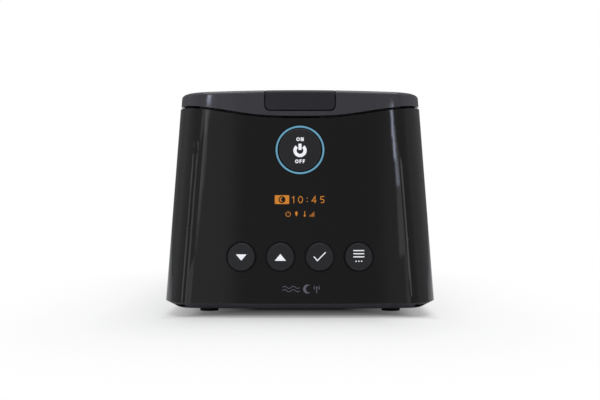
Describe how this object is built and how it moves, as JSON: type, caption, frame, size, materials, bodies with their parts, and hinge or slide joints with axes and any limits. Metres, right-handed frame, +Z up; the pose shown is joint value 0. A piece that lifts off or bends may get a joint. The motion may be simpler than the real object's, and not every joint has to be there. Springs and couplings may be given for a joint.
{
  "type": "cpap machine",
  "caption": "Bedside breathing-therapy machine with heated humidifier: tapered casing, hinged lid with latch, water chamber, blower, front buttons and swivelling hose elbow.",
  "frame": {"origin": "on the table surface, below the middle of the machine", "axes": "+Z up, -Y out of the front with the buttons, +X to the right as seen from the front"},
  "size_m": [0.1712, 0.275, 0.148],
  "materials": {
    "fascia_gloss": "high gloss black",
    "casing_black": "polished black moulding",
    "tray_grey": "satin dark grey moulding",
    "lid_grey": "fine satin dark grey moulding",
    "latch_dark": "satin, a shade darker than the lid",
    "cap_dark": "satin black caps",
    "ring_light": "frosted light guide, lit blue",
    "inner_grey": "plain grey moulding",
    "grille_black": "satin black",
    "elbow_grey": "smooth mid grey",
    "foot_rubber": "matt black",
    "seal_silicone": "soft dark grey silicone",
    "chamber_clear": "clear polycarbonate",
    "plate_metal": "satin",
    "steel": "plain steel",
    "copper": "copper windings and plated pins",
    "element_film": "amber film",
    "filter_felt": "white felt",
    "impeller_white": "white moulding",
    "board_green": "green solder mask",
    "part_black": "moulded black",
    "led_white": "lens"
  },
  "bodies": {
    "root": {"base_tray": "tray_grey", "main_housing": "casing_black", "front_fascia": "fascia_gloss", "chamber_bay": "inner_grey", "rubber_feet": "foot_rubber", "housing_screws": "steel", "hinge_pins": "steel", "start_light_ring": "ring_light", "button_carrier": "inner_grey", "control_board": "board_green", "tact_switches": "part_black", "ring_leds": "led_white", "display_module": "part_black", "chamber_inlet_seal": "seal_silicone", "chamber_outlet_seal": "seal_silicone", "inlet_plenum": "inner_grey", "blower_front_housing": "inner_grey", "blower_rear_housing": "inner_grey", "motor_bearings": "steel", "motor_stator": "copper", "motor_can": "plate_metal", "blower_mounts": "foot_rubber", "blower_outlet_duct": "inner_grey", "outlet_duct": "inner_grey", "power_inlet": "part_black", "power_inlet_pins": "copper", "usb_port": "steel", "psu_board": "board_green", "psu_transformer": "part_black", "psu_capacitors": "part_black", "psu_heatsink": "plate_metal", "board_standoffs": "steel", "main_board": "board_green", "heater_springs": "steel"},
    "lid": {"lid_shell": "lid_grey", "lid_liner": "inner_grey", "lid_seal": "seal_silicone", "latch_spring": "steel"},
    "latch": {"latch_button": "latch_dark"},
    "start_button": {"start_button": "cap_dark"},
    "down_button": {"down_button": "cap_dark"},
    "up_button": {"up_button": "cap_dark"},
    "confirm_button": {"confirm_button": "cap_dark"},
    "menu_button": {"menu_button": "cap_dark"},
    "water_chamber": {"heater_plate": "plate_metal", "heater_element": "element_film", "heater_insulator": "inner_grey", "chamber_tub": "chamber_clear", "chamber_base_plate": "plate_metal", "chamber_seal": "seal_silicone", "chamber_lid": "chamber_clear"},
    "elbow": {"outlet_elbow": "elbow_grey", "elbow_seal": "seal_silicone"},
    "rotor": {"impeller": "impeller_white", "motor_shaft": "steel", "motor_magnet": "steel"},
    "filter": {"filter_cover": "grille_black", "air_filter": "filter_felt"}
  },
  "joints": [
    {"name": "lid_hinge", "type": "hinge", "parent": "root", "child": "lid", "pos_m": [0, 0.072, 0.1319], "axis": [-1, 0, 0], "range_deg": [0, 95]},
    {"name": "latch_press", "type": "slide", "parent": "lid", "child": "latch", "axis": [0, 1, 0], "range_m": [0, 0.0015], "stiffness_N_per_m": 1200, "springref_m": -0.001, "deforming": ["latch_spring"]},
    {"name": "start_button_press", "type": "slide", "parent": "root", "child": "start_button", "axis": [0, 0.9962, -0.0872], "range_m": [0, 0.0008], "stiffness_N_per_m": 1500, "springref_m": -0.0006},
    {"name": "down_button_press", "type": "slide", "parent": "root", "child": "down_button", "axis": [0, 0.9962, -0.0872], "range_m": [0, 0.0008], "stiffness_N_per_m": 1500, "springref_m": -0.0006},
    {"name": "up_button_press", "type": "slide", "parent": "root", "child": "up_button", "axis": [0, 0.9962, -0.0872], "range_m": [0, 0.0008], "stiffness_N_per_m": 1500, "springref_m": -0.0006},
    {"name": "confirm_button_press", "type": "slide", "parent": "root", "child": "confirm_button", "axis": [0, 0.9962, -0.0872], "range_m": [0, 0.0008], "stiffness_N_per_m": 1500, "springref_m": -0.0006},
    {"name": "menu_button_press", "type": "slide", "parent": "root", "child": "menu_button", "axis": [0, 0.9962, -0.0872], "range_m": [0, 0.0008], "stiffness_N_per_m": 1500, "springref_m": -0.0006},
    {"name": "elbow_swivel", "type": "hinge", "parent": "root", "child": "elbow", "pos_m": [0.038, 0.108, 0.12], "axis": [0, 0, 1], "range_deg": [-100, 100]},
    {"name": "blower_spin", "type": "hinge", "parent": "root", "child": "rotor", "pos_m": [-0.014, 0.083, 0.054], "axis": [0, 1, 0], "continuous": true},
    {"name": "heater_float", "type": "slide", "parent": "root", "child": "water_chamber", "axis": [0, 0, 1], "range_m": [-0.001, 0], "stiffness_N_per_m": 3000, "springref_m": 0.004, "deforming": ["heater_springs"]},
    {"name": "filter_pull", "type": "slide", "parent": "root", "child": "filter", "axis": [0, 1, 0], "range_m": [0, 0.03]}
  ]
}
